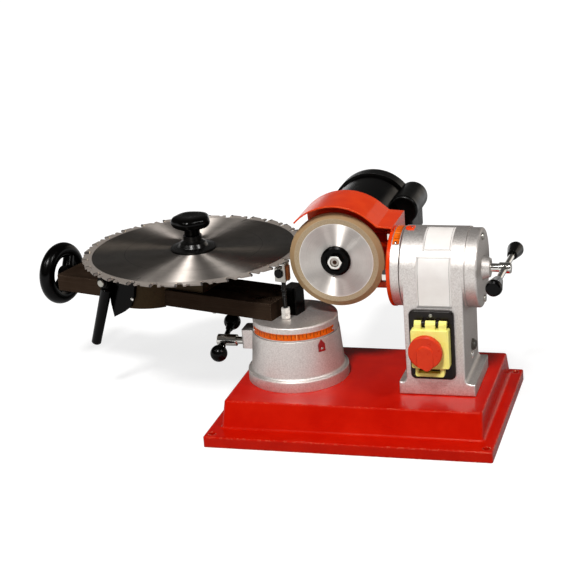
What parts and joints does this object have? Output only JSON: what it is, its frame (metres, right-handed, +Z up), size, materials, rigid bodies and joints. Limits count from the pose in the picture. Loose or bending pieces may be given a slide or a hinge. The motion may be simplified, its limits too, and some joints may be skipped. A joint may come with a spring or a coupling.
{
  "type": "circular saw blade sharpening machine",
  "caption": "Bench grinder for circular saw blades: blade carriage on a swivelling slide arm, tilting motor head with a guarded grinding wheel, cast base and hinged switch.",
  "frame": {"origin": "middle of the four bench holes on the base's underside", "axes": "+X along the base towards the motor column's lock handle, +Y to the back where the motor points, +Z up"},
  "size_m": [0.6808, 0.37, 0.2839],
  "materials": {
    "red_enamel": "gloss",
    "guard_enamel": "gloss",
    "grey_paint": "satin",
    "black_paint": "gloss",
    "olive_paint": "satin",
    "scale_orange": "satin",
    "pointer_red": "satin",
    "browned_steel": "satin",
    "bright_steel": "brushed",
    "blade_steel": "brushed",
    "chrome": "polished",
    "aluminium": "brushed",
    "abrasive": "matte",
    "brass": "satin",
    "copper": "satin",
    "black_plastic": "gloss",
    "switch_black": "satin",
    "switch_yellow": "gloss",
    "switch_red": "gloss",
    "switch_green": "gloss"
  },
  "bodies": {
    "frame": {"base_casting": "red_enamel", "column_bolts": "bright_steel", "turntable_column": "grey_paint", "swivel_pointer": "pointer_red", "motor_column": "grey_paint", "cable_gland": "switch_black", "barrel_cover": "grey_paint", "panel_screws": "bright_steel", "switch_box": "switch_black", "hinge_pin": "bright_steel"},
    "turntable": {"turntable_disc": "grey_paint", "swivel_scale": "scale_orange", "slide_arm": "browned_steel", "arm_bolts": "browned_steel", "stop_post": "black_paint", "stop_rod": "browned_steel", "stop_nuts": "chrome", "stop_block": "bright_steel"},
    "swivel_lock": {"swivel_lock_screw": "chrome", "swivel_lock_bar": "black_paint", "swivel_lock_balls": "black_plastic"},
    "feed": {"lead_screw": "bright_steel", "handwheel": "black_plastic"},
    "carriage": {"blade_carriage": "olive_paint", "blade_post": "bright_steel", "clamp_bracket": "black_paint", "clamp_lever_screw": "chrome"},
    "clamp_lever": {"clamp_lever": "black_paint", "lever_grip": "black_plastic"},
    "blade": {"saw_blade": "blade_steel", "clamp_flange": "black_paint"},
    "clamp_knob": {"clamp_knob": "black_plastic"},
    "stop_finger": {"stop_finger": "brass"},
    "thumb_screw": {"stop_thumb_screw": "black_plastic"},
    "tilt_lock": {"tilt_lock_screw": "chrome", "tilt_lock_bar": "chrome", "tilt_lock_knobs": "black_plastic"},
    "head": {"tilt_ring": "grey_paint", "tilt_scale": "scale_orange", "flange_bolts": "chrome", "motor_bracket": "guard_enamel", "wheel_guard": "guard_enamel", "motor_end_cover": "black_paint", "motor_housing": "black_paint", "fan_cover": "black_plastic", "capacitor_cover": "black_plastic", "stator": "copper", "ball_bearings": "bright_steel"},
    "spindle": {"motor_shaft": "bright_steel", "rotor": "bright_steel", "cooling_fan": "black_plastic", "wheel_inner_flange": "bright_steel", "wheel_core": "aluminium", "abrasive_rim": "abrasive", "wheel_washer": "black_paint", "wheel_nut": "chrome"},
    "switch_cover": {"switch_cover": "switch_yellow"},
    "stop_paddle": {"stop_paddle": "switch_red"},
    "stop_button": {"stop_button": "switch_red"},
    "start_button": {"start_button": "switch_green"}
  },
  "joints": [
    {"name": "turntable_swivel", "type": "hinge", "parent": "frame", "child": "turntable", "pos_m": [-0.0935, 0.008, 0.114], "axis": [0, 0, 1], "range_deg": [-4.7, 25]},
    {"name": "swivel_lock_turn", "type": "hinge", "parent": "frame", "child": "swivel_lock", "pos_m": [-0.194, 0.008, 0.0917], "axis": [1, 0, 0], "range_deg": [-70, 25]},
    {"name": "handwheel_turn", "type": "hinge", "parent": "turntable", "child": "feed", "pos_m": [-0.46678, 0.11012, 0.1435], "axis": [0.9646, -0.2639, 0], "range_deg": [0, 5401]},
    {"name": "carriage_slide", "type": "slide", "parent": "turntable", "child": "carriage", "axis": [-0.9646, 0.2639, 0], "range_m": [0, 0.06]},
    {"name": "clamp_lever_turn", "type": "hinge", "parent": "carriage", "child": "clamp_lever", "pos_m": [-0.35581, 0.00719, 0.1705], "axis": [0.2639, 0.9646, 0], "range_deg": [-25, 40]},
    {"name": "blade_turn", "type": "hinge", "parent": "carriage", "child": "blade", "pos_m": [-0.24088, 0.04832, 0.2045], "axis": [0, 0, 1], "continuous": true},
    {"name": "clamp_knob_turn", "type": "hinge", "parent": "carriage", "child": "clamp_knob", "pos_m": [-0.24088, 0.04832, 0.24], "axis": [0, 0, 1], "range_deg": [0, 360]},
    {"name": "finger_slide", "type": "slide", "parent": "turntable", "child": "stop_finger", "axis": [0, 0, -1], "range_m": [0, 0.008]},
    {"name": "thumb_screw_turn", "type": "hinge", "parent": "turntable", "child": "thumb_screw", "pos_m": [-0.10444, -0.01493, 0.195], "axis": [0.2639, 0.9646, 0], "range_deg": [0, 360]},
    {"name": "head_tilt", "type": "hinge", "parent": "frame", "child": "head", "pos_m": [0.0476, 0.008, 0.202], "axis": [1, 0, 0], "range_deg": [-15, 15]},
    {"name": "tilt_lock_turn", "type": "hinge", "parent": "frame", "child": "tilt_lock", "pos_m": [0.184, 0.008, 0.202], "axis": [1, 0, 0], "range_deg": [-90, 90]},
    {"name": "spindle_turn", "type": "hinge", "parent": "head", "child": "spindle", "pos_m": [-0.0315, 0.006, 0.209], "axis": [0, 1, 0], "continuous": true},
    {"name": "switch_cover_hinge", "type": "hinge", "parent": "frame", "child": "switch_cover", "pos_m": [0.0987, -0.0545, 0.149], "axis": [-1, 0, 0], "range_deg": [0, 100]},
    {"name": "paddle_push", "type": "slide", "parent": "switch_cover", "child": "stop_paddle", "axis": [0, 1, 0], "range_m": [0, 0.003], "stiffness_N_per_m": 400},
    {"name": "stop_push", "type": "slide", "parent": "frame", "child": "stop_button", "axis": [0, 1, 0], "range_m": [0, 0.003]},
    {"name": "start_push", "type": "slide", "parent": "frame", "child": "start_button", "axis": [0, 1, 0], "range_m": [0, 0.003], "stiffness_N_per_m": 400}
  ],
  "couplings": [
    {"joint": "handwheel_turn", "follows": "carriage_slide", "rad_per_m": 1570.8},
    {"joint": "stop_push", "follows": "paddle_push", "ratio": 1}
  ]
}
